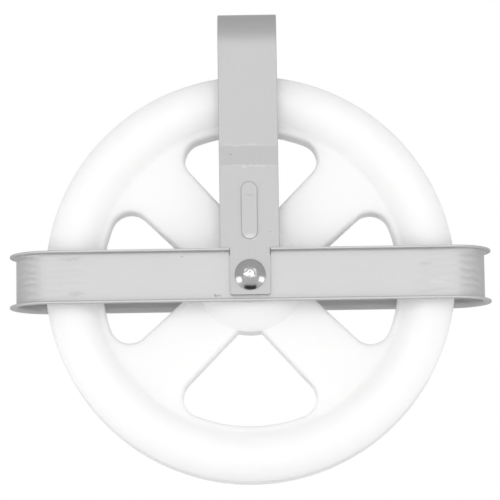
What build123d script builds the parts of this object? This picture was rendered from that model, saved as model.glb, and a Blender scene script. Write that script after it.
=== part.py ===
from build123d import *
import math
import os

# A rope sheave in its steel frame, in millimetres.
# The origin is on the axle, midway between the two legs of the guard band. +Z points up to the arch
# that the sheave hangs by, +X runs along the guard band, and -Y is the front, where the axle is staked.

# ---- Wheel ----
wheel_diameter = 175.8
rim_width = 24.0                 # from a window's outer edge to the wheel's edge
rim_side_gap = 2.2               # between the rim at its thickest and the guard band
crown_inset = 11.9               # from the wheel's edge in to where the rim is thickest
rim_blend_radius = 4.0           # between the spokes' faces and the rim's bulge
rim_blend_angle = 40.0
groove_depth = 10.0
groove_bottom_radius = 4.5
groove_flank_angle = 12.0        # of each flank from the wheel's middle plane
lip_land = 1.8                   # width of each lip beside the groove's mouth
lip_radius = 1.2
spoke_count = 4
spoke_width = 25.7               # where it leaves the hub
spoke_flare = 1.9                # degrees that each side opens from the spoke's middle line
spoke_turn = -1.0                # degrees from the diagonals, as the wheel came to rest
spoke_thickness = 14.0
window_corner_radius = 8.6
window_root_radius = 1.2         # where two spokes meet at the hub
window_edge_radius = 1.5
hub_diameter = 46.8
hub_face_diameter = 27.0         # of the flat at each end
hub_shoulder_radius = 8.0        # between the flat and the slope that runs down to the spokes
hub_length = 25.4
hub_side_gap = 0.5               # between each hub face and the guard band

# ---- Axle and sleeve ----
sleeve_diameter = 9.5
running_clearance = 0.08         # radial, between the sleeve and the hub's bore
axle_diameter = 6.35
axle_hole_clearance = 0.1        # radial, in the sleeve, the guard band and the hanger
axle_shoulder_setback = 0.1      # so that the cap bears on the hanger and not on the axle's shoulder
rear_head_diameter = 13.4
rear_head_edge = 0.6             # straight height of the head's side
rear_head_height = 2.8
tenon_diameter = 4.2             # the axle's front end, staked over the cap
tenon_proud = 0.2                # how far it stands past the top of the cap's dome
tenon_edge_radius = 0.25
stake_diameter = 1.4             # the punch's dimple
stake_depth = 0.4

# ---- Front cap ----
cap_diameter = 13.2
cap_edge = 0.5                   # straight height of the cap's side
cap_height = 3.1
cap_hole_clearance = 0.05        # radial, round the tenon

# ---- Guard band ----
band_thickness = 1.0
band_height = 22.9
band_end_gap = 12.0              # between the wheel's edge and the inside of each rounded end
flange_width = 2.8               # from the web's outer face to the flange's edge
flange_bend_radius = 0.8         # inside the bend
flange_edge_radius = 0.3
notch_relief = 1.0               # how far the notch is cut down past the flange's bend
notch_side_gap = 0.4             # beside the hanger's tab

# ---- Hanger ----
strap_thickness = 1.6
strap_width = 25.4
strap_edge_radius = 0.3
tab_width = 17.0
tab_end_gap = 1.1                # between the tab's end and the lower flange's bend
tab_corner_radius = 0.8
hook_room = 26.9                 # between the wheel's edge and the underside of the arch
joggle_below_rim = 8.0           # from the joggle's upper bend up to the window's outer edge
joggle_rise = 8.8
joggle_step = 1.6
joggle_bend_radius = 4.0         # at the middle of the strap's thickness
bead_length = 24.9
bead_width = 7.0
bead_height = 0.8
bead_edge_radius = 0.4
bead_wall = 1.2                  # metal left at the bead's sides
bead_middle = 27.7               # from the axle up to the bead's middle

# ---- Cutting and picking ----
overrun = 5.0                    # how far a cutting shape runs past what it cuts
nearby = 0.01                    # an edge or corner this near to a line is on it

# ---- Sizes that follow from them ----
wheel_radius = wheel_diameter / 2
hub_radius = hub_diameter / 2
window_outer_radius = wheel_radius - rim_width
rim_root_radius = window_outer_radius + window_edge_radius
sleeve_length = hub_length + 2 * hub_side_gap
rim_thickness = sleeve_length - 2 * rim_side_gap
axle_hole_diameter = axle_diameter + 2 * axle_hole_clearance
web_inner = sleeve_length / 2
web_outer = web_inner + band_thickness
strap_outer = web_outer + strap_thickness
cap_face = strap_outer + cap_height
band_top = band_height / 2
leg_half_length = wheel_radius + band_end_gap - web_inner
flange_corner = band_thickness + flange_bend_radius
frame_half_depth = strap_outer + joggle_step
arch_top = wheel_radius + hook_room + strap_thickness
arch_centre = arch_top - frame_half_depth
joggle_top = window_outer_radius - joggle_below_rim


def rod(diameter, y_start, y_end):
    """A round bar on the axle's line."""
    return Pos(0, (y_start + y_end) / 2, 0) * Rot(90, 0, 0) * Cylinder(diameter / 2, y_end - y_start)


def button(diameter, edge_height, height):
    """A domed button on the axle's line: its flat face is at y = 0 and its dome points to -Y."""
    radius = diameter / 2
    rise = height - edge_height
    dome_radius = (radius**2 + rise**2) / (2 * rise)
    outline = Polyline((0, -height), (0, 0), (radius, 0), (radius, -edge_height))
    outline += RadiusArc((radius, -edge_height), (0, -height), dome_radius)
    return revolve(make_face(outline), Axis.Y)


# ---- Wheel: one moulding ----
def rim_section():
    """The rim's section with its rope groove: X is the radius and Y runs along the axle."""
    groove_centre = wheel_radius - groove_depth + groove_bottom_radius
    flank = math.radians(groove_flank_angle)
    flank_start = groove_centre - groove_bottom_radius * math.sin(flank)
    flank_inset = groove_bottom_radius * math.cos(flank)
    mouth_inset = flank_inset + (wheel_radius - flank_start) * math.tan(flank)
    blend = JernArc((rim_root_radius, spoke_thickness / 2), (1, 0), rim_blend_radius, rim_blend_angle)
    lip = (wheel_radius, mouth_inset + lip_land)
    crown = (wheel_radius - crown_inset, rim_thickness / 2)
    outline = blend + ThreePointArc(blend @ 1, crown, lip)
    outline += Polyline(lip, (wheel_radius, mouth_inset), (flank_start, flank_inset))
    flank_turn = 90 + groove_flank_angle
    outline += CenterArc((groove_centre, 0), groove_bottom_radius, flank_turn, 180 - flank_turn)
    outline += Polyline((wheel_radius - groove_depth, 0), (rim_root_radius, 0), blend @ 0)
    half = make_face(outline)
    section = half + mirror(half, Plane.XZ)
    lips = [corner for corner in section.vertices() if abs(corner.X - wheel_radius) < nearby]
    return fillet(lips, lip_radius)


def window_outlines():
    """The windows between the spokes, in the wheel's middle plane."""
    inner_radius = hub_radius - window_root_radius / 2
    windows = Circle(window_outer_radius) - Circle(inner_radius)
    slope = math.tan(math.radians(spoke_flare))
    inner_half = spoke_width / 2 - hub_radius * slope
    outer_half = spoke_width / 2 + (wheel_radius - hub_radius) * slope
    sides = [(0, -inner_half), (wheel_radius, -outer_half), (wheel_radius, outer_half), (0, inner_half)]
    spoke = make_face(Polyline(*sides, close=True))
    for index in range(spoke_count):
        windows -= Rot(0, 0, (index + 0.5) * 360 / spoke_count + spoke_turn) * spoke
    rim_corners = [corner for corner in windows.vertices() if corner.center().length > hub_radius]
    windows = fillet(rim_corners, window_corner_radius)
    hub_corners = [corner for corner in windows.vertices() if corner.center().length < inner_radius + nearby]
    return fillet(hub_corners, window_root_radius)


def rounds_window(edge):
    """Whether an edge of the spoked disc lies on one of its faces, inside the disc's own outline."""
    middle = edge.center()
    on_face = abs(abs(middle.Z) - spoke_thickness / 2) < nearby
    return on_face and math.hypot(middle.X, middle.Y) < rim_root_radius


def hub():
    """The hub: a cylinder between the spokes, with a slope from them up to each flat face."""
    half_length = hub_length / 2
    spoke_face = spoke_thickness / 2
    outline = FilletPolyline(
        (0, half_length),
        (hub_face_diameter / 2, half_length),
        (hub_radius, spoke_face),
        radius=hub_shoulder_radius,
    )
    outline += Polyline((hub_radius, spoke_face), (hub_radius, 0), (0, 0), (0, half_length))
    half = make_face(outline)
    return revolve(half + mirror(half, Plane.XZ), Axis.Y)


def sheave_wheel():
    """The rim, the spokes and the hub, bored for the sleeve."""
    disc = Cylinder(rim_root_radius + rim_blend_radius, spoke_thickness)
    disc -= extrude(window_outlines(), spoke_thickness, both=True)
    disc = fillet(disc.edges().filter_by(rounds_window), window_edge_radius)
    wheel = Rot(90, 0, 0) * disc + hub() + revolve(rim_section(), Axis.Y)
    bore = rod(sleeve_diameter + 2 * running_clearance, -hub_length, hub_length)
    return wheel - bore


# ---- Axle, sleeve and front cap ----
def axle_sleeve():
    """The tube that the wheel turns on, held between the guard band's legs."""
    hole = rod(axle_hole_diameter, -sleeve_length, sleeve_length)
    return rod(sleeve_diameter, -web_inner, web_inner) - hole


def axle_rivet():
    """The axle: a domed rear head, a plain shank and a thin front end that is staked over the cap."""
    shank = rod(axle_diameter, axle_shoulder_setback - strap_outer, strap_outer)
    head = button(rear_head_diameter, rear_head_edge, rear_head_height)
    head = Pos(0, strap_outer, 0) * Rot(0, 0, 180) * head
    tenon = rod(tenon_diameter, -cap_face - tenon_proud, -web_outer)
    tenon = fillet(tenon.edges().sort_by(Axis.Y)[0], tenon_edge_radius)
    dimple = Rot(-90, 0, 0) * Cone(stake_diameter / 2, 0, stake_depth)
    dimple = Pos(0, -cap_face - tenon_proud + stake_depth / 2, 0) * dimple
    return shank + head + tenon - dimple


def front_cap():
    """The domed cap on the hanger's front, holed for the axle's thin end."""
    cap = Pos(0, -strap_outer, 0) * button(cap_diameter, cap_edge, cap_height)
    return cap - rod(tenon_diameter + 2 * cap_hole_clearance, -cap_face - overrun, 0)


# ---- Guard band: one strip, flanged outward along both edges and bent round the wheel ----
def guard_band():
    """The closed band with its flanges, its two notches for the hanger's tabs and its axle holes."""
    middle = band_thickness / 2
    flange_edge = -web_outer - flange_width
    flange_middle = band_top - middle
    strip_line = FilletPolyline(
        (flange_edge, flange_middle),
        (-web_inner - middle, flange_middle),
        (-web_inner - middle, -flange_middle),
        (flange_edge, -flange_middle),
        radius=flange_bend_radius + middle,
    )
    section = Plane.YZ * trace(strip_line, band_thickness)
    corners = [corner for corner in section.vertices() if abs(corner.Y - flange_edge) < nearby]
    section = fillet(corners, flange_edge_radius)
    front_leg = extrude(section, leg_half_length, both=True)
    bend_axis = Axis((leg_half_length, 0, 0), (0, 0, 1))
    right_end = revolve(Pos(leg_half_length, 0, 0) * section, bend_axis, 180)
    band = front_leg + right_end + mirror(front_leg, Plane.XZ) + mirror(right_end, Plane.YZ)
    notch_depth = flange_corner + notch_relief
    notch = Box(tab_width + 2 * notch_side_gap, 2 * (web_outer + flange_width), notch_depth + overrun)
    band -= Pos(0, 0, band_top + overrun / 2 - notch_depth / 2) * notch
    return band - rod(axle_hole_diameter, -strap_outer, strap_outer)


# ---- Hanger: one strap, from the front tab over the arch to the rear tab ----
def strap_bead():
    """The metal that the pressed bead adds to the front, and the hollow that it leaves behind."""
    upright = Plane(origin=(0, -strap_outer, bead_middle), x_dir=(0, 0, 1), z_dir=(0, -1, 0))
    raised = extrude(upright * SlotOverall(bead_length, bead_width), bead_height)
    raised = fillet(raised.faces().sort_by(Axis.Y)[0].edges(), bead_edge_radius)
    hollow_outline = SlotOverall(bead_length - 2 * bead_wall, bead_width - 2 * bead_wall)
    hollow = Pos(0, strap_thickness, 0) * extrude(upright * hollow_outline, bead_height)
    return raised, hollow


def hanger_strap():
    """The bent strap with its narrowed tabs, its joggles, its beads and its axle holes."""
    tab_line = -web_outer - strap_thickness / 2
    upper_line = tab_line - joggle_step
    tab_end = flange_corner + tab_end_gap - band_top
    leg_line = FilletPolyline(
        (tab_line, tab_end),
        (tab_line, joggle_top - joggle_rise),
        (upper_line, joggle_top),
        (upper_line, arch_centre),
        radius=joggle_bend_radius,
    )
    arch_line = CenterArc((0, arch_centre), -upper_line, 0, 180)
    strap_line = leg_line + arch_line + mirror(leg_line, Plane.YZ)
    strap = extrude(Plane.YZ * trace(strap_line, strap_thickness), strap_width / 2, both=True)
    strap = fillet(strap.faces().filter_by(Axis.X).edges(), strap_edge_radius)
    side_width = (strap_width - tab_width) / 2 + overrun
    side_height = band_top - tab_end + overrun
    side_cut = Box(side_width, 2 * frame_half_depth, side_height)
    side_cut = Pos((tab_width + side_width) / 2, 0, band_top - side_height / 2) * side_cut
    strap -= side_cut + mirror(side_cut, Plane.YZ)
    tab_corners = strap.edges().filter_by(Axis.Y).filter_by(lambda edge: edge.center().Z < tab_end + nearby)
    strap = fillet(tab_corners, tab_corner_radius)
    raised, hollow = strap_bead()
    strap += raised + mirror(raised, Plane.XZ)
    strap -= hollow + mirror(hollow, Plane.XZ)
    return strap - rod(axle_hole_diameter, -strap_outer - overrun, strap_outer + overrun)


os.makedirs("parts", exist_ok=True)
export_step(sheave_wheel(), "parts/sheave_wheel.step")
export_step(axle_sleeve(), "parts/axle_sleeve.step")
export_step(axle_rivet(), "parts/axle_rivet.step")
export_step(front_cap(), "parts/front_cap.step")
export_step(guard_band(), "parts/guard_band.step")
export_step(hanger_strap(), "parts/hanger_strap.step")
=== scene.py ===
"""Looks for a moulded rope sheave in a galvanised steel frame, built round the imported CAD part."""
import logging
import math
from dataclasses import dataclass
from enum import Enum
from typing import Any, Union

import bmesh
import bpy
import numpy as np
from mathutils import Matrix, Vector


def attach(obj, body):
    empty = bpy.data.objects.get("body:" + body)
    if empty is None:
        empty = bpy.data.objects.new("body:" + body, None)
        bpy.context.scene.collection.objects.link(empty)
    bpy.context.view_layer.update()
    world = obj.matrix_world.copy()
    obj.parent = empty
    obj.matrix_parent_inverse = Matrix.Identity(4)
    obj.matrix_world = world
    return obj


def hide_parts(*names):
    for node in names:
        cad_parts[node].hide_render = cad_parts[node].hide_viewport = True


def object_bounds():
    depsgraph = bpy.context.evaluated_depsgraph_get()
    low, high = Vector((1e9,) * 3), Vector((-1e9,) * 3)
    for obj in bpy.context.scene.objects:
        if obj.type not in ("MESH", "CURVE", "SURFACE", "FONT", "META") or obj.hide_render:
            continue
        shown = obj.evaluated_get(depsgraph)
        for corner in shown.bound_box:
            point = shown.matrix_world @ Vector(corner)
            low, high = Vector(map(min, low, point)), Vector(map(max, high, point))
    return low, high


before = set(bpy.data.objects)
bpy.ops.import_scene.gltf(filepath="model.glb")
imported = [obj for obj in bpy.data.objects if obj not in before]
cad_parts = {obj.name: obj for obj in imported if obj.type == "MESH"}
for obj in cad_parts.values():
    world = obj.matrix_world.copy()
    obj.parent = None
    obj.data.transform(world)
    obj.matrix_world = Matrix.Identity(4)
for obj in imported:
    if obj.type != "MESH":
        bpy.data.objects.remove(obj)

CAD_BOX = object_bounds()
LOG = logging.getLogger("sheave")
MM = 0.001
Colour = tuple[float, float, float, float]
Value = Union[float, "Wire"]


def grey(level: float, warmth: float = 0.0) -> Colour:
    """A neutral colour of that level; warmth lifts its red and lowers its blue."""
    return (level * (1 + warmth), level, level * (1 - warmth), 1.0)


class Wire:
    """One output socket in a shader expression; each operator adds a Math node."""

    def __init__(self, graph: "ShaderGraph", socket: bpy.types.NodeSocket) -> None:
        """Keeps the socket and the graph that it belongs to."""
        self.graph = graph
        self.socket = socket

    def math(self, operation: str, *operands: Value) -> "Wire":
        """Adds one Math node.

        Args:
            operation: the Math node's operation.
            operands: its inputs, in order.

        Returns:
            The node's result.
        """
        return self.graph.node("ShaderNodeMath", {"operation": operation}, dict(enumerate(operands)))

    def __add__(self, other: Value) -> "Wire":
        """self + other."""
        return self.math("ADD", self, other)

    __radd__ = __add__

    def __sub__(self, other: Value) -> "Wire":
        """self - other."""
        return self.math("SUBTRACT", self, other)

    def __rsub__(self, other: Value) -> "Wire":
        """other - self."""
        return self.math("SUBTRACT", other, self)

    def __mul__(self, other: Value) -> "Wire":
        """self * other."""
        return self.math("MULTIPLY", self, other)

    __rmul__ = __mul__

    def __truediv__(self, other: Value) -> "Wire":
        """self / other."""
        return self.math("DIVIDE", self, other)

    def __abs__(self) -> "Wire":
        """abs(self)."""
        return self.math("ABSOLUTE", self)

    def __pow__(self, other: Value) -> "Wire":
        """self ** other."""
        return self.math("POWER", self, other)

    def least(self, other: Value) -> "Wire":
        """The smaller of the two."""
        return self.math("MINIMUM", self, other)

    def most(self, other: Value) -> "Wire":
        """The larger of the two."""
        return self.math("MAXIMUM", self, other)

    def ramp(self, start: float, end: float) -> "Wire":
        """A smooth step.

        Args:
            start: the value where the result is 0.
            end: the value where it is 1; it may be the smaller one.

        Returns:
            The step, held at 0 and 1 outside.
        """
        settings = {"interpolation_type": "SMOOTHSTEP"}
        return self.graph.node("ShaderNodeMapRange", settings, {0: self, 1: start, 2: end, 3: 0.0, 4: 1.0})


class ShaderGraph:
    """A material's or world's node tree, built from expressions."""

    def __init__(self, owner: Union[bpy.types.Material, bpy.types.World]) -> None:
        """Empties the owner's node tree and makes it ready."""
        owner.use_nodes = True
        self.tree = owner.node_tree
        self.tree.nodes.clear()

    def node(self, kind: str, settings: dict[str, Any] | None = None,
             inputs: dict[Any, Any] | None = None, output: Any = 0) -> Wire:
        """Adds one node.

        Args:
            kind: the node's type.
            settings: its properties, set before its sockets.
            inputs: values or wires by socket name or number.
            output: the name or number of the socket to hand back.

        Returns:
            That output socket.
        """
        node = self.tree.nodes.new(kind)
        for name, value in (settings or {}).items():
            setattr(node, name, value)
        for key, value in (inputs or {}).items():
            if isinstance(value, Wire):
                self.tree.links.new(value.socket, node.inputs[key])
            else:
                node.inputs[key].default_value = value
        return Wire(self, node.outputs[output])

    def place(self) -> tuple[Wire, Wire, Wire]:
        """The point's X, Y and Z on the object, in metres."""
        point = self.node("ShaderNodeTexCoord", output="Object")
        return self.split(point)

    def split(self, vector: Wire) -> tuple[Wire, Wire, Wire]:
        """The vector's X, Y and Z."""
        parts = self.node("ShaderNodeSeparateXYZ", None, {0: vector})
        sockets = parts.socket.node.outputs
        return Wire(self, sockets[0]), Wire(self, sockets[1]), Wire(self, sockets[2])

    def join(self, x: Value, y: Value, z: Value) -> Wire:
        """The vector of the three values."""
        return self.node("ShaderNodeCombineXYZ", None, {0: x, 1: y, 2: z})

    def noise(self, vector: Wire, scale: float, detail: float = 2.0, roughness: float = 0.5) -> Wire:
        """Soft noise between 0 and 1.

        Args:
            vector: where it is read.
            scale: features per unit of the vector.
            detail: octaves.
            roughness: how strong the fine octaves are.

        Returns:
            The noise.
        """
        inputs = {"Vector": vector, "Scale": scale, "Detail": detail, "Roughness": roughness}
        return self.node("ShaderNodeTexNoise", None, inputs)

    def blend(self, factor: Value, first: Any, second: Any) -> Wire:
        """The first colour where the factor is 0, the second where it is 1."""
        settings = {"data_type": "RGBA", "clamp_factor": True}
        return self.node("ShaderNodeMix", settings, {0: factor, 6: first, 7: second}, 2)

    def tint(self, colour: Colour, level: Value) -> Wire:
        """A colour made lighter or darker.

        Args:
            colour: the colour.
            level: what it is multiplied by.

        Returns:
            The product.
        """
        settings = {"data_type": "RGBA", "blend_type": "MULTIPLY"}
        return self.node("ShaderNodeMix", settings, {0: 1.0, 6: colour, 7: self.join(level, level, level)}, 2)

    def bump(self, height: Wire, depth: float, strength: float = 1.0) -> Wire:
        """A normal from a height.

        Args:
            height: from 0 to 1.
            depth: how far 1 stands above 0, in metres.
            strength: how much of it shows.

        Returns:
            The bumped normal.
        """
        return self.node("ShaderNodeBump", None, {"Height": height, "Distance": depth, "Strength": strength})

    def surface(self, **inputs: Any) -> None:
        """Ends a material in a Principled shader.

        Args:
            inputs: values or wires by socket name, with _ for each space.
        """
        named = {name.replace("_", " "): value for name, value in inputs.items()}
        shader = self.node("ShaderNodeBsdfPrincipled", None, named)
        self.end(shader)

    def spot(self, x: Wire, z: Wire, middle: tuple[float, float], half: tuple[float, float]) -> Wire:
        """A soft-edged oval on the front of the object.

        Args:
            x: the point's X.
            z: the point's Z.
            middle: the oval's centre, in millimetres.
            half: half its width and height, in millimetres.

        Returns:
            1 inside the oval and 0 outside.
        """
        across = (x - middle[0] * MM) / (half[0] * MM)
        up = (z - middle[1] * MM) / (half[1] * MM)
        return ((across * across + up * up) ** 0.5).ramp(1.3, 0.6)

    def end(self, shader: Wire) -> None:
        """Links a shader to a new material output."""
        output = self.tree.nodes.new("ShaderNodeOutputMaterial")
        self.tree.links.new(shader.socket, output.inputs["Surface"])


class Grain(Enum):
    """Which way a strip was rolled."""

    ROUND_THE_BAND = "band"
    UP_THE_STRAP = "strap"


@dataclass(frozen=True)
class MouldedPlastic:
    """White satin polyethylene, a little translucent, with the soft unevenness of a thick moulding."""

    colour: Colour = grey(0.875, 0.002)
    roughness: float = 0.45
    mottle: float = 0.03
    cloud_scale: float = 28.0
    speck_scale: float = 900.0
    sink_scale: float = 34.0
    peel_scale: float = 1500.0
    peel_depth: float = 0.012 * MM
    sink_depth: float = 0.25 * MM
    glow_reach: float = 9.0 * MM

    def material(self, name: str) -> bpy.types.Material:
        """Makes the finish under that name."""
        material = bpy.data.materials.new(name)
        graph = ShaderGraph(material)
        x, y, z = graph.place()
        point = graph.join(x, y, z)
        cloud = graph.noise(point, self.cloud_scale, 3.0, 0.55)
        speck = graph.noise(point, self.speck_scale, 2.0, 0.6)
        level = 1.0 + (cloud - 0.5) * self.mottle + (speck - 0.5) * (self.mottle * 0.35)
        sink = graph.noise(point, self.sink_scale, 2.0, 0.4)
        peel = graph.noise(point, self.peel_scale, 2.0, 0.5)
        height = sink + peel * (self.peel_depth / self.sink_depth)
        graph.surface(
            Base_Color=graph.tint(self.colour, level),
            Roughness=self.roughness + (cloud - 0.5) * 0.1 + (speck - 0.5) * 0.06,
            Normal=graph.bump(height, self.sink_depth),
            Subsurface_Weight=1.0,
            Subsurface_Radius=(self.glow_reach, self.glow_reach, self.glow_reach),
            Subsurface_Scale=1.0,
            Specular_IOR_Level=0.45,
        )
        return material


@dataclass(frozen=True)
class Mark:
    """A fleck, scratch or smudge on a strip's front, or a highlight or shade painted there, in millimetres.
    """

    middle: tuple[float, float]
    half: tuple[float, float]
    change: float


@dataclass(frozen=True)
class GalvanisedStrip:
    """Satin galvanised steel strip with a fine rolled grain, bending marks, stray flecks and any painted
    highlights and painted shade among its marks.
    """

    grain: Grain
    colour: Colour
    marks: tuple[Mark, ...] = ()
    metal: float = 0.55
    roughness: float = 0.52
    streak: float = 0.1
    cloud: float = 0.07
    fine_scale: float = 1500.0
    long_scale: float = 60.0
    cloud_scale: float = 55.0
    flake_scale: float = 420.0
    mark_raggedness: float = 3.0 * MM
    grain_depth: float = 0.02 * MM
    ripple_depth: float = 0.0
    ripple_pitch: float = 3.2 * MM
    ripple_from: float = 66.0 * MM
    ripple_to: float = 74.0 * MM
    ripple_sway: float = 14.0
    ripple_slant: float = 90.0

    def material(self, name: str) -> bpy.types.Material:
        """Makes the finish under that name."""
        material = bpy.data.materials.new(name)
        graph = ShaderGraph(material)
        x, y, z = graph.place()
        point = graph.join(x, y, z)
        if self.grain is Grain.ROUND_THE_BAND:
            along = graph.join(x * self.long_scale, y * self.long_scale, z * self.fine_scale)
        else:
            along = graph.join(x * self.fine_scale, y * self.long_scale, z * self.long_scale)
        streaks = graph.noise(along, 1.0, 4.0, 0.6)
        clouds = graph.noise(point, self.cloud_scale, 4.0, 0.55)
        flakes = graph.noise(point, self.flake_scale, 3.0, 0.6)
        level = 1.0 + (streaks - 0.5) * self.streak + (clouds - 0.5) * self.cloud
        level = level + (flakes - 0.5) * (self.cloud * 0.6)
        front = y.ramp(-0.008, -0.012)
        # Each mark is painted into the base colour on the front: real flecks and scratches, and on the strap
        # also painted highlights and painted shade.
        for mark in self.marks:
            ragged = (flakes - 0.5) * self.mark_raggedness
            shape = graph.spot(x + ragged, z - ragged, mark.middle, mark.half)
            level = level + shape * front * mark.change
        height = streaks * self.grain_depth
        if self.ripple_depth:
            near_end = abs(x).ramp(self.ripple_from, self.ripple_to)
            sway = (clouds - 0.5) * self.ripple_sway
            phase = z * (math.tau / self.ripple_pitch) + sway + x * self.ripple_slant
            wave = phase.math("SINE", phase)
            height = height + wave * near_end * self.ripple_depth
        graph.surface(
            Base_Color=graph.tint(self.colour, level),
            Metallic=self.metal,
            Roughness=self.roughness + (streaks - 0.5) * 0.12 + (clouds - 0.5) * 0.1,
            Normal=graph.bump(height, 1.0),
        )
        return material


@dataclass(frozen=True)
class PolishedSteel:
    """Bright pressed steel."""

    colour: Colour = grey(0.5)
    roughness: float = 0.12
    haze_scale: float = 400.0

    def material(self, name: str) -> bpy.types.Material:
        """Makes the finish under that name."""
        material = bpy.data.materials.new(name)
        graph = ShaderGraph(material)
        x, y, z = graph.place()
        point = graph.join(x, y, z)
        haze = graph.noise(point, self.haze_scale, 4.0, 0.6)
        graph.surface(
            Base_Color=graph.tint(self.colour, 0.94 + haze * 0.12),
            Metallic=1.0,
            Roughness=self.roughness + (haze - 0.5) * 0.1,
        )
        return material


@dataclass
class AxlePin:
    """The axle with its domed rear head and its hammered front end, turned about the Y axis."""

    shaft_radius: float = 3.175 * MM
    tenon_radius: float = 2.05 * MM
    shoulder: float = -15.7 * MM
    peen_under: float = -18.5 * MM
    peen_edge: float = -18.85 * MM
    peen_top: float = -19.25 * MM
    peen_radius: float = 2.15 * MM
    peen_tail: float = 0.75 * MM
    dimple_radius: float = 0.45 * MM
    dimple_depth: float = 0.35 * MM
    dimple_up: float = 0.9 * MM
    head_start: float = 15.8 * MM
    head_edge: float = 16.4 * MM
    head_top: float = 18.6 * MM
    head_radius: float = 6.7 * MM
    lump_depth: float = 0.3 * MM
    dent_depth: float = 0.07 * MM
    steps: int = 144
    rings: int = 28
    seed: int = 7
    finish: PolishedSteel = PolishedSteel(grey(0.7), 0.25)

    def outline(self) -> tuple[np.ndarray, np.ndarray, np.ndarray]:
        """The turned profile from the front to the rear: radii, places along Y and how ragged each is."""
        share = np.linspace(0.0, 1.0, self.rings)
        face_radius = share * self.peen_radius
        face_y = self.peen_top + (self.peen_edge - self.peen_top) * share ** 4
        body_radius = np.array([self.peen_radius * 0.93, self.tenon_radius, self.tenon_radius,
                                self.shaft_radius, self.shaft_radius, self.head_radius, self.head_radius])
        body_y = np.array([self.peen_under, self.peen_under, self.shoulder, self.shoulder,
                           self.head_start, self.head_start, self.head_edge])
        rise = self.head_top - self.head_edge
        ball = (self.head_radius ** 2 + rise ** 2) / (2 * rise)
        dome_radius = self.head_radius * np.cos(share[1:] * math.pi / 2)
        dome_y = self.head_top - ball + np.sqrt(ball ** 2 - dome_radius ** 2)
        radius = np.concatenate([face_radius, body_radius, dome_radius])
        along = np.concatenate([face_y, body_y, dome_y])
        ragged = np.concatenate([share ** 1.5, [1.0], np.zeros(len(body_radius) - 1 + len(dome_radius))])
        return radius, along, ragged

    def build(self) -> bpy.types.Object:
        """Makes the pin.

        Each ring of the profile is a circle whose radius grows by a sum of sines of the angle, and by a
        tail towards -X, where the end was hammered over. The hammered face is dented by waves in X and Z
        and by one punched dimple.

        Returns:
            The pin, riding on the frame in the place of its CAD node.
        """
        radius, along, ragged = self.outline()
        angle = np.linspace(0.0, math.tau, self.steps, endpoint=False)
        random = np.random.default_rng(self.seed)
        turns = np.arange(2, 9)
        size = random.normal(0.0, 1.0, len(turns)) / turns
        start = random.uniform(0.0, math.tau, len(turns))
        waves = size[:, None] * np.sin(turns[:, None] * angle + start[:, None])
        lumps = waves.sum(axis=0) * self.lump_depth
        tail = self.peen_tail * np.exp(-((angle - math.pi - 0.1) / 0.42) ** 2)
        reach = radius[:, None] + ragged[:, None] * (lumps + tail)[None, :]
        x = reach * np.cos(angle)[None, :]
        z = reach * np.sin(angle)[None, :]
        y = np.repeat(along[:, None], self.steps, axis=1)
        face = (np.arange(len(along)) < self.rings)[:, None]
        bent = x / (0.45 * MM) + 1.3 * np.sin(z / (0.6 * MM))
        dents = self.dent_depth * np.sin(bent) * np.cos(z / (0.5 * MM) + 0.7)
        hole = self.dimple_depth * np.exp(-(x ** 2 + (z - self.dimple_up) ** 2) / self.dimple_radius ** 2)
        y = y + face * (dents + hole)
        points = np.stack([x, y, z], axis=2).reshape(-1, 3)
        ring, step = np.meshgrid(np.arange(len(along) - 1), np.arange(self.steps), indexing="ij")
        after = (step + 1) % self.steps
        corners = [ring * self.steps + step, ring * self.steps + after,
                   (ring + 1) * self.steps + after, (ring + 1) * self.steps + step]
        faces = np.stack(corners, axis=2).reshape(-1, 4)
        mesh = bpy.data.meshes.new("axle_pin")
        mesh.from_pydata(points.tolist(), [], faces.tolist())
        merged = bmesh.new()
        merged.from_mesh(mesh)
        bmesh.ops.remove_doubles(merged, verts=merged.verts, dist=0.0001 * MM)
        bmesh.ops.recalc_face_normals(merged, faces=merged.faces)
        merged.to_mesh(mesh)
        merged.free()
        mesh.shade_smooth()
        pin = bpy.data.objects.new("axle_pin", mesh)
        bpy.context.scene.collection.objects.link(pin)
        mesh.materials.append(self.finish.material("axle_steel"))
        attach(pin, "frame")
        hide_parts("axle_rivet")
        return pin


def dress(node: str, material: bpy.types.Material) -> None:
    """Gives a CAD node that finish in each of its material slots."""
    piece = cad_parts[node]
    slots = piece.material_slots
    if not slots:
        piece.data.materials.append(material)
    for slot in slots:
        slot.material = material


@dataclass(frozen=True)
class SoftBox:
    """One square area lamp that faces the axle.

    Its azimuth is in degrees from the front towards +X and its elevation in degrees above the level. Its
    distance and side are in metres, and its radiance is how bright its face is, where 1 is white.
    """

    name: str
    azimuth: float
    elevation: float
    distance: float
    size: float
    radiance: float


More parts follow.
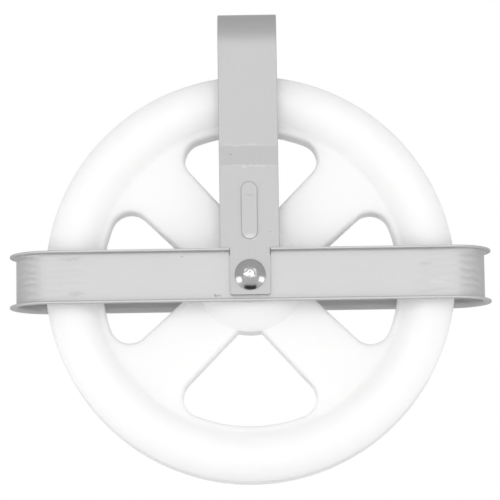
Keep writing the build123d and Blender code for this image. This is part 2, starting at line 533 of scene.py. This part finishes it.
@dataclass
class Studio:
    """The floor, the soft light and the camera."""

    boxes: tuple[SoftBox, ...] = (
        SoftBox("front_box", 0, 5, 2.2, 2.4, 1.62),
        SoftBox("left_box", -62, -20, 0.6, 0.28, 2.6),
        SoftBox("right_box", 62, -20, 0.6, 0.28, 2.2),
    )

    distance: float = 1.4
    elevation: float = math.radians(-8.86)
    azimuth: float = math.radians(0.2)
    roll: float = math.radians(0.82)
    aim_height: float = 13.0 * MM
    view_width: float = 215.8 * MM
    sensor: float = 36.0
    floor_drop: float = 0.17
    floor_reach: float = 6.0
    card_side: float = 0.1
    card_width: float = 0.24
    card_distance: float = 0.24
    card_drop: float = math.radians(62)
    world_grey: float = 0.62
    floor_grey: float = 0.93
    card_grey: float = 0.03

    def camera(self) -> None:
        """Looks slightly up at the sheave, level with its lower rim, from its capped front."""
        e, a = self.elevation, self.azimuth
        out = Vector((math.sin(a) * math.cos(e), -math.cos(a) * math.cos(e), math.sin(e)))
        right = out.cross(Vector((0, 0, -1))).normalized()
        up = out.cross(right)
        cos, sin = math.cos(self.roll), math.sin(self.roll)
        tilted_right = right * cos - up * sin
        tilted_up = right * sin + up * cos
        place = Vector((0, 0, self.aim_height)) + out * self.distance
        data = bpy.data.cameras.new("studio_camera")
        data.sensor_width = self.sensor
        data.lens = self.sensor * self.distance / self.view_width
        camera = bpy.data.objects.new("studio_camera", data)
        axes = Matrix((tilted_right, tilted_up, out)).transposed()
        camera.matrix_world = Matrix.Translation(place) @ axes.to_4x4()
        bpy.context.scene.collection.objects.link(camera)
        bpy.context.scene.camera = camera

    def lamp(self, box: SoftBox) -> None:
        """Adds that soft box.

        Args:
            box: its place, size and brightness.
        """
        a, e = math.radians(box.azimuth), math.radians(box.elevation)
        out = Vector((math.sin(a) * math.cos(e), -math.cos(a) * math.cos(e), math.sin(e)))
        data = bpy.data.lights.new(box.name, "AREA")
        data.shape = "SQUARE"
        data.size = box.size
        data.energy = box.radiance * math.pi * box.size * box.size
        lamp = bpy.data.objects.new(box.name, data)
        turn = out.to_track_quat("Z", "Y").to_matrix().to_4x4()
        lamp.matrix_world = Matrix.Translation(out * box.distance) @ turn
        lamp.visible_camera = False
        bpy.context.scene.collection.objects.link(lamp)

    def world(self) -> None:
        """A pale studio: white behind the sheave and light grey all round."""
        world = bpy.data.worlds.new("studio")
        bpy.context.scene.world = world
        graph = ShaderGraph(world)
        direction = graph.node("ShaderNodeTexCoord", output="Generated")
        _, back, _ = graph.split(direction)
        white = back.ramp(0.75, 0.93)
        colour = graph.blend(white, grey(self.world_grey), grey(1.0))
        shade = graph.node("ShaderNodeBackground", None, {"Color": colour, "Strength": 1.0})
        output = graph.tree.nodes.new("ShaderNodeOutputWorld")
        graph.tree.links.new(shade.socket, output.inputs["Surface"])

    def floor(self) -> None:
        """A pale floor well below the wheel, open from beneath."""
        low = CAD_BOX[0][2] - self.floor_drop
        reach = self.floor_reach
        mesh = bpy.data.meshes.new("studio_floor")
        corners = [(-reach, -reach, low), (reach, -reach, low), (reach, reach, low), (-reach, reach, low)]
        mesh.from_pydata(corners, [], [(0, 1, 2, 3)])
        floor = bpy.data.objects.new("studio_floor", mesh)
        bpy.context.scene.collection.objects.link(floor)
        material = bpy.data.materials.new("studio_floor")
        graph = ShaderGraph(material)
        x, y, _ = graph.place()
        away = (x * x + y * y) ** 0.5
        paint = graph.node("ShaderNodeBsdfDiffuse", None, {"Color": grey(self.floor_grey)})
        clear = graph.node("ShaderNodeBsdfTransparent")
        below = graph.node("ShaderNodeNewGeometry", output="Backfacing")
        hide = below.most(away.ramp(1.5, 5.0))
        graph.end(graph.node("ShaderNodeMixShader", None, {0: hide, 1: paint, 2: clear}))
        mesh.materials.append(material)

    def card(self) -> None:
        """A black card below the front that only the polished pieces mirror."""
        half = self.card_side / 2
        mesh = bpy.data.meshes.new("studio_card")
        wide = self.card_width / 2
        corners = [(-wide, 0, -half), (wide, 0, -half), (wide, 0, half), (-wide, 0, half)]
        mesh.from_pydata(corners, [], [(0, 1, 2, 3)])
        tilt = Vector((0, -math.cos(self.card_drop), -math.sin(self.card_drop)))
        turn = tilt.to_track_quat("Y", "Z").to_matrix()
        mesh.transform(Matrix.Translation(tilt * self.card_distance) @ turn.to_4x4())
        card = bpy.data.objects.new("studio_card", mesh)
        bpy.context.scene.collection.objects.link(card)
        card.visible_camera = False
        card.visible_diffuse = False
        card.visible_shadow = False
        card.visible_transmission = False
        material = bpy.data.materials.new("studio_card")
        graph = ShaderGraph(material)
        graph.end(graph.node("ShaderNodeBsdfDiffuse", None, {"Color": grey(self.card_grey)}))
        mesh.materials.append(material)

    def build(self) -> None:
        """Sets up everything that isn't the sheave."""
        bpy.context.scene.view_settings.view_transform = "Standard"
        self.camera()
        self.world()
        self.floor()
        self.card()
        for box in self.boxes:
            self.lamp(box)


BAND_MARKS = (
    Mark((-14.1, -8.6), (1.5, 0.35), -0.3),
    Mark((-15.2, -8.3), (0.4, 0.7), -0.25),
    Mark((-29.1, 8.3), (0.5, 0.4), -0.28),
    Mark((-76.0, 8.0), (5.0, 0.8), -0.1),
    Mark((-74.0, -7.0), (4.0, 0.7), -0.12),
    Mark((75.0, 4.0), (3.0, 0.6), -0.1),
    Mark((80.0, -4.0), (4.0, 0.7), 0.07),
)
# Flecks on the strap's front, with painted highlights and painted shade at the bead's ends and along the
# bends.
STRAP_FLECKS_AND_PAINTED_LIGHT = (
    Mark((9.0, 18.2), (0.4, 0.4), -0.35),
    Mark((-7.6, 51.9), (0.4, 0.3), -0.35),
    # Painted shade: a thin dark arc across the top end of the raised bead, whose slope faces up.
    Mark((0.0, 34.3), (2.2, 0.25), -0.15),
    # Painted highlight: a lighter patch at the lower end of the raised bead, whose slope faces down towards
    # the light from below.
    Mark((0.3, 16.2), (2.6, 1.4), 0.22),
    # Painted highlights: two lighter lines across the strap along its joggle bends.
    Mark((0.0, 55.8), (12.5, 0.35), 0.12),
    Mark((0.0, 47.1), (12.5, 0.35), 0.14),
)


def main() -> None:
    """Builds the studio and dresses the sheave."""
    Studio().build()
    dress("sheave_wheel", MouldedPlastic().material("wheel_plastic"))
    band = GalvanisedStrip(Grain.ROUND_THE_BAND, grey(0.545), BAND_MARKS, ripple_depth=0.05 * MM)
    dress("guard_band", band.material("galvanised_band"))
    strap = GalvanisedStrip(Grain.UP_THE_STRAP, grey(0.475), STRAP_FLECKS_AND_PAINTED_LIGHT)
    dress("hanger_strap", strap.material("galvanised_strap"))
    dress("front_cap", PolishedSteel(grey(0.5), 0.2).material("polished_steel"))
    dress("axle_sleeve", PolishedSteel(grey(0.55), 0.35).material("sleeve_steel"))
    LOG.info("CAD pieces dressed")
    pin = AxlePin().build()
    LOG.info("%s: %d faces", pin.name, len(pin.data.polygons))


if __name__ == "__main__":
    logging.basicConfig(level=logging.INFO, format="%(name)s: %(message)s")
    main()
